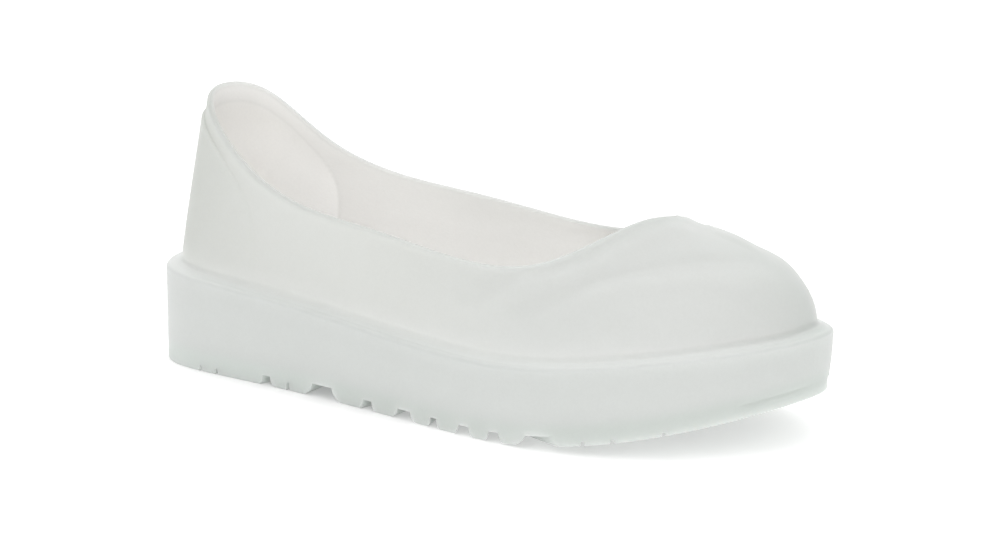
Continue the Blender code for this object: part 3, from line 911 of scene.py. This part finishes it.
class Rings:
    """Rings of the body in order, with the marks that its rubber reads."""

    def __init__(self, turns):
        self.turns = turns
        self.points = []
        self.given = {"inside": [], "upper": [], "level": [], "edge": [], "crease": [], "rim": []}

    def add(self, ring, **given):
        """Keeps a ring, laid flat again, and its marks, 0 where none is given."""
        flat = ring.copy()
        flat[:, 2] -= spring(ring[:, 0])
        self.points.append(flat)
        for mark, values in self.given.items():
            values.append(np.broadcast_to(given.get(mark, 0.0), len(self.turns)))

    def marks(self):
        """All marks of the points, those worked out from turn and level included."""
        turns = np.tile(self.turns, len(self.points))
        marks = {mark: np.concatenate(values) for mark, values in self.given.items()}
        level = marks["level"]
        outer = 1 - marks["inside"]
        from_heel = degrees_from_heel(turns)
        from_toe = 180 - from_heel
        reach_out = np.where(level > 0, counter_reach(turns, level), 2.0)
        marks["panel"] = smooth_step((1 - reach_out) / COUNTER_EDGE)
        # Painted shade along the counter's edge line
        marks["panel_edge"] = np.exp(-(((reach_out - 1) / COUNTER_LINE) ** 2))
        # Painted shade on the heel's back
        marks["heel_back"] = np.exp(-((from_heel / HEEL_BACK_TURN) ** 2)) * marks["upper"] * outer
        # Painted shade at the toe, on the ledge and sole below it, and at the throat
        top, fade = TOE_LEVELS
        toe = np.exp(-((from_toe / TOE_TURN) ** 2)) * smooth_step((top - level) / fade)
        start, fade = THROAT_LEVELS
        throat = THROAT_SHARE * np.exp(-((from_toe / THROAT_TURN) ** 2)) * smooth_step((level - start) / fade)
        on_ledge = (marks["crease"] > CREASE_LEAST) & (marks["upper"] == 0)
        below = np.where(on_ledge, TOE_ON_LEDGE, TOE_ON_SOLE)
        marks["toe_front"] = (toe * np.where(marks["upper"] > 0, 1.0, below) + throat) * outer
        # Less painted light in the crease at the toe
        marks["crease"] = marks["crease"] * (1 - CREASE_AT_TOE * toe)
        # Painted sheen on the swell of the vamp
        turned = (from_heel - CHEEK_TURN) / CHEEK_SPREAD
        raised = (level - CHEEK_LEVEL) / CHEEK_HEIGHT
        marks["cheek"] = np.exp(-(turned**2) - raised**2) * (level > 0) * outer
        marks["rise"] = np.concatenate(self.points)[:, 2]
        return marks


def sprung_ring(turns, inset, height):
    """A ring at a height over the sprung underside."""
    ring = sole_ring(turns, inset, height)
    ring[:, 2] += spring(ring[:, 0])
    return ring


def wall_ring(turns, inset, height):
    """A ring of the side wall, which takes its spring from the outline."""
    return sole_ring(turns, inset, height + spring(outline(turns)[:, 0]))


def tread_rings(rings):
    """Underside and side of the tread with its chamfer, and the toe block that is set back."""
    turns = rings.turns
    station = outline(turns)[:, 0] / LENGTH
    block = TOE_BLOCK_SET * smooth_step((station - TOE_BLOCK_START) / TOE_BLOCK_BLEND)
    for inset, height in ((1.0, 0.0), (0.3, 0.3 * TREAD_CHAMFER), (0.0, TREAD_CHAMFER), (0.0, TREAD_TOP)):
        lean = side_lean(turns, height)
        rings.add(sprung_ring(turns, lean + inset * TREAD_CHAMFER + block, height))


def wall_rings(rings):
    """Side wall of the sole, its rounded ledge, and the fillet that runs up into the upper."""
    turns = rings.turns
    ledge = ledge_height(turns)
    foot_lean = side_lean(turns, TREAD_TOP)
    for share in np.linspace(0, 1, WALL_STEPS + 1)[:-1]:
        low = 1 - share * (1 - WAIST_LEAN) / WAIST_LEVEL
        high = WAIST_LEAN * (1 - share) / (1 - WAIST_LEVEL)
        height = (TREAD_TOP + SEAM) * (1 - share) + (ledge - LEDGE_RADIUS) * share
        place = sprung_ring if share == 0 else wall_ring
        rings.add(place(turns, foot_lean * (low if share < WAIST_LEVEL else high), height))
    for angle in np.radians(np.linspace(0, 90, LEDGE_STEPS + 1)):
        drop = LEDGE_RADIUS * (1 - math.sin(angle))
        ring = wall_ring(turns, LEDGE_RADIUS * (1 - math.cos(angle)), ledge - drop)
        # Painted shade on the ledge's rounded edge, and painted light growing into the crease
        rings.add(ring, edge=edge_shade_share(angle), crease=CREASE_ON_EDGE * math.sin(angle) ** 4)
    fillet_foot = foot_inset(turns) - FILLET
    # Painted light in the crease, over the ledge and up the fillet
    least, more = CREASE_ON_LEDGE
    for share in LEDGE_STRIPS:
        inset = LEDGE_RADIUS + (fillet_foot - LEDGE_RADIUS) * share
        ring = wall_ring(turns, inset, ledge + LEDGE_RISE * share)
        rings.add(ring, crease=least + more * share)
    low = wall_ring(turns, fillet_foot, ledge + LEDGE_RISE)
    corner = foot_ring(turns)
    high = skin(turns, fillet_level(turns), COUNTER_WALL * counter_rise(turns, fillet_level(turns)))
    least, more = CREASE_IN_FILLET
    for t in FILLET_STEPS:
        ring = (1 - t) ** 2 * low + 2 * t * (1 - t) * corner + t * t * high
        rings.add(ring, upper=t, crease=least + more * min(1.0, 2 * t))


def edge_shade_share(angle):
    """How much painted shade the rounding of the ledge takes, strongest on its outer side."""
    return math.exp(-(((angle - EDGE_ANGLE) / EDGE_SPREAD) ** 2))


def rim_shade_share(angle):
    """How much of the rim's painted shade its rounding takes, from its outer side at 0 to its inner side at
    pi.
    """
    climb = smooth_step(angle / RIM_CLIMB)
    fall = smooth_step(2 * angle / math.pi - 1)
    return RIM_OUTSIDE + (1 - RIM_OUTSIDE) * climb - (1 - RIM_INSIDE) * fall


def fillet_level(turns):
    """Level at which the fillet meets the face of the upper."""
    height = rim_ring(turns)[:, 2] - foot_ring(turns)[:, 2]
    return np.minimum(FILLET / (3 * around(UPPER_SECTIONS, 1, 1, turns) * height), FILLET_TOP)


def upper_rings(rings, sizes):
    """Outer face of the upper with its folds and heel counter, the rounded rim, and the inner face."""
    turns = rings.turns
    start = fillet_level(turns)
    height = rim_ring(turns)[:, 2] - foot_ring(turns)[:, 2]
    low, high = OUTER_STEPS
    coarse = np.linspace(0, DENSE_LEVEL, low + 1)[:-1]
    sharp, soft = CREASE_ON_UPPER
    for share in np.concatenate([coarse, np.linspace(DENSE_LEVEL, 1, high + 1)]):
        level = start + (1 - start) * share
        ring = skin(turns, level, sizes.counter_wall * counter_rise(turns, level))
        # Painted light in the crease above the fillet, and painted shade fading down from the rim
        climb = np.maximum(ring[:, 2] - foot_ring(turns)[:, 2] - FILLET, 0)
        crease = sharp * np.exp(-climb / CREASE_FADE) + soft * np.exp(-climb / CREASE_GLOW)
        rim = RIM_OUTSIDE * np.exp((level - 1) * height / RIM_FADE)
        rings.add(ring, upper=1.0, level=level, crease=crease, rim=rim)
    outer_rim = skin(turns, 1.0)
    inner_rim = skin(turns, 1.0, -UPPER_WALL)
    middle = (outer_rim + inner_rim) / 2
    up = outer_rim - skin(turns, BELOW_RIM)
    up /= np.linalg.norm(up, axis=1, keepdims=True)
    for angle in np.linspace(0, math.pi, sizes.rim_steps + 2)[1:-1]:
        edge = middle + (outer_rim - middle) * math.cos(angle)
        ring = edge + up * math.sin(angle) * UPPER_WALL / 2
        # Painted shade over the rim's rounding
        rings.add(ring, inside=smooth_step(angle / math.pi), upper=1.0, level=1.0, rim=rim_shade_share(angle))
    high, low = INNER_STEPS
    coarse = np.linspace(DENSE_LEVEL, 0, low + 1)[1:]
    for level in np.concatenate([np.linspace(1, DENSE_LEVEL, high + 1), coarse]):
        # Painted shade fading down the inner face from the rim
        rim = RIM_INSIDE * np.exp((level - 1) * height / RIM_FADE)
        rings.add(skin(turns, level, -UPPER_WALL), inside=1.0, upper=1.0, level=level, rim=rim)


def hollow_rings(rings):
    """Lip over the hollow of the sole, its inner wall, and the rounded edge of its floor."""
    turns = rings.turns
    ledge = ledge_height(turns)
    rings.add(wall_ring(turns, foot_inset(turns) + UPPER_WALL, ledge - LIP_DEPTH + LEDGE_RISE), inside=1.0)
    rings.add(wall_ring(turns, SOLE_WALL, ledge - LIP_DEPTH), inside=1.0)
    rings.add(sprung_ring(turns, SOLE_WALL, SOLE_FLOOR + FLOOR_RADIUS), inside=1.0)
    rings.add(sprung_ring(turns, SOLE_WALL + FLOOR_RADIUS, SOLE_FLOOR), inside=1.0)


class OVERSHOE_OT_body(bpy.types.Operator):
    """The whole moulding: grooved tread, sole wall and ledge, and the open upper with its heel counter"""

    bl_idname = "overshoe.body"
    bl_label = "Body"

    def execute(self, context):
        sizes = context.scene.overshoe_sizes
        rings = Rings(body_turns())
        tread_rings(rings)
        wall_rings(rings)
        upper_rings(rings, sizes)
        hollow_rings(rings)
        count = len(rings.turns)
        faces = ring_faces(len(rings.points), count)
        faces += ladder_faces(0, count, False)
        faces += ladder_faces((len(rings.points) - 1) * count, count, True)
        body = mesh_object("overshoe_body", np.concatenate(rings.points), faces, rings.marks())
        grooves = groove_points("tread_groove_points", sizes)
        material = rubber("milky rubber")
        values = {"Groove points": grooves, "Toe spring": sizes.toe_spring, "Rubber": material}
        run_tree(body, sole_tree("Grooves and toe spring"), values)
        bpy.data.objects.remove(grooves)
        dress(body, material, "upper", "heel_counter", "sole_cup", "heel_tread", "forefoot_tread")
        return {"FINISHED"}


def table_material(stage):
    """Matt white table that is softly lit from below, with its light taken away round the sole as a painted
    shadow.
    """
    material = bpy.data.materials.new("lit table")
    material.use_nodes = True
    graph = Graph(material.node_tree)
    shader = material.node_tree.nodes["Principled BSDF"]
    place = graph.add("ShaderNodeTexCoord", output="Object")
    grain = graph.noise(place, FLOOR_GRAIN_SCALE)
    roughness = FLOOR_ROUGHNESS + (grain - 0.5) * FLOOR_GRAIN
    material.node_tree.links.new(roughness.socket, shader.inputs["Roughness"])
    shader.inputs["Base Color"].default_value = colour(stage.floor)
    shader.inputs["Specular IOR Level"].default_value = 0.0
    # Painted shadow: the table gives less light where the marks say so
    glow = graph.mix(graph.mark("covered"), (1.0, 1.0, 1.0, 1.0), (0.0, 0.0, 0.0, 1.0))
    material.node_tree.links.new(glow.socket, shader.inputs["Emission Color"])
    shader.inputs["Emission Strength"].default_value = stage.table
    return material


def floor_mesh():
    """Wide round floor, with rings round the sole that say how much of the table's light is taken away there
    as a painted shadow.
    """
    middle = np.array([LENGTH / 2, 0.0])
    edge = outline(TURNS) - middle
    edge /= np.linalg.norm(edge, axis=1, keepdims=True)
    station = outline(TURNS)[:, 0] / LENGTH
    end, fade = SHADOW_END
    least, full = SHADOW_HEEL
    # Painted shadow: strongest from near the heel to the middle, weaker at the very back, gone towards the
    # toe
    near_heel = FLOOR_SHADOW * smooth_step((end - station) / fade)
    near_heel = near_heel * (least + (1 - least) * smooth_step(station / full))
    rings = [np.column_stack([middle + edge * FLOOR_REACH, np.zeros(AROUND)])]
    covered = [np.zeros(AROUND)]
    for out, share in FLOOR_RINGS:
        rings.append(sole_ring(TURNS, -out, 0.0))
        covered.append(share * near_heel)
    faces = ring_faces(len(rings), AROUND) + ladder_faces((len(rings) - 1) * AROUND, AROUND, True)
    return mesh_object("floor", np.concatenate(rings), faces, {"covered": np.concatenate(covered)})


def studio(stage, right):
    """Even white room, dimmer to both sides of the shoe and brighter overhead."""
    world = bpy.data.worlds.new("studio")
    world.use_nodes = True
    graph = Graph(world.node_tree)
    light = world.node_tree.nodes["Background"]
    way = graph.add("ShaderNodeTexCoord", output="Generated")
    sideways = graph.add("ShaderNodeVectorMath", {"operation": "DOT_PRODUCT"}, [way, tuple(right)], "Value")
    overhead = graph.add("ShaderNodeSeparateXYZ", None, [way], 2).at_least(0.0)
    strength = stage.sky * (1 - stage.side_dim * sideways * sideways + stage.overhead * overhead)
    world.node_tree.links.new(strength.socket, light.inputs["Strength"])
    light.inputs["Color"].default_value = (1.0, 1.0, 1.0, 1.0)
    return world


class OVERSHOE_OT_stage(bpy.types.Operator):
    """Pale floor, even studio light and the camera"""

    bl_idname = "overshoe.stage"
    bl_label = "Stage"

    def soft_box(self, name, place, target, size, power):
        data = bpy.data.lights.new(name, "AREA")
        data.shape = "RECTANGLE"
        data.size, data.size_y = size
        data.energy = power
        lamp = bpy.data.objects.new(name, data)
        lamp.location = place
        lamp.rotation_euler = (Vector(target) - Vector(place)).to_track_quat("-Z", "Y").to_euler()
        bpy.context.scene.collection.objects.link(lamp)

    def execute(self, context):
        scene = context.scene
        stage = scene.overshoe_stage
        floor = floor_mesh()
        floor.data.materials.append(table_material(stage))
        self.soft_box("key", KEY_PLACE, KEY_TARGET, KEY_SIZE, stage.key)
        scene.view_settings.view_transform = "Standard"
        azimuth = math.radians(CAMERA_AZIMUTH)
        rise = math.radians(CAMERA_RISE)
        level_share = math.cos(rise)
        back = Vector((math.sin(azimuth) * level_share, -math.cos(azimuth) * level_share, math.sin(rise)))
        right = Vector((math.cos(azimuth), math.sin(azimuth), 0.0))
        up = back.cross(right)
        scene.world = studio(stage, right)
        data = bpy.data.cameras.new("camera")
        data.lens = stage.lens
        data.sensor_width = 36.0
        data.clip_start = 0.05
        camera = bpy.data.objects.new("camera", data)
        target = in_frame([CAMERA_TARGET])[0]
        place = Vector(target) + back * CAMERA_DISTANCE
        turn = Matrix((right, up, back)).transposed().to_4x4()
        camera.matrix_world = Matrix.Translation(place) @ turn
        scene.collection.objects.link(camera)
        scene.camera = camera
        return {"FINISHED"}


class OVERSHOE_PT_panel(bpy.types.Panel):
    bl_idname = "OVERSHOE_PT_panel"
    bl_label = "Rubber Overshoe"
    bl_space_type = "VIEW_3D"
    bl_region_type = "UI"
    bl_category = "Overshoe"

    def draw(self, context):
        scene = context.scene
        for group in (scene.overshoe_sizes, scene.overshoe_look, scene.overshoe_stage):
            box = self.layout.box()
            for key in group.__annotations__:
                box.prop(group, key)
        for operator in OPERATORS:
            self.layout.operator(operator.bl_idname)


OPERATORS = (
    OVERSHOE_OT_stage,
    OVERSHOE_OT_body,
)
GROUPS = {"overshoe_sizes": OvershoeSizes, "overshoe_look": OvershoeLook, "overshoe_stage": OvershoeStage}


def register():
    for item in (*GROUPS.values(), *OPERATORS, OVERSHOE_PT_panel):
        bpy.utils.register_class(item)
    for key, group in GROUPS.items():
        setattr(bpy.types.Scene, key, PointerProperty(type=group))


def unregister():
    for key in GROUPS:
        delattr(bpy.types.Scene, key)
    for item in (OVERSHOE_PT_panel, *OPERATORS, *GROUPS.values()):
        bpy.utils.unregister_class(item)


def main():
    register()
    for operator in OPERATORS:
        family, name = operator.bl_idname.split(".")
        getattr(getattr(bpy.ops, family), name)()


if __name__ == "__main__":
    main()
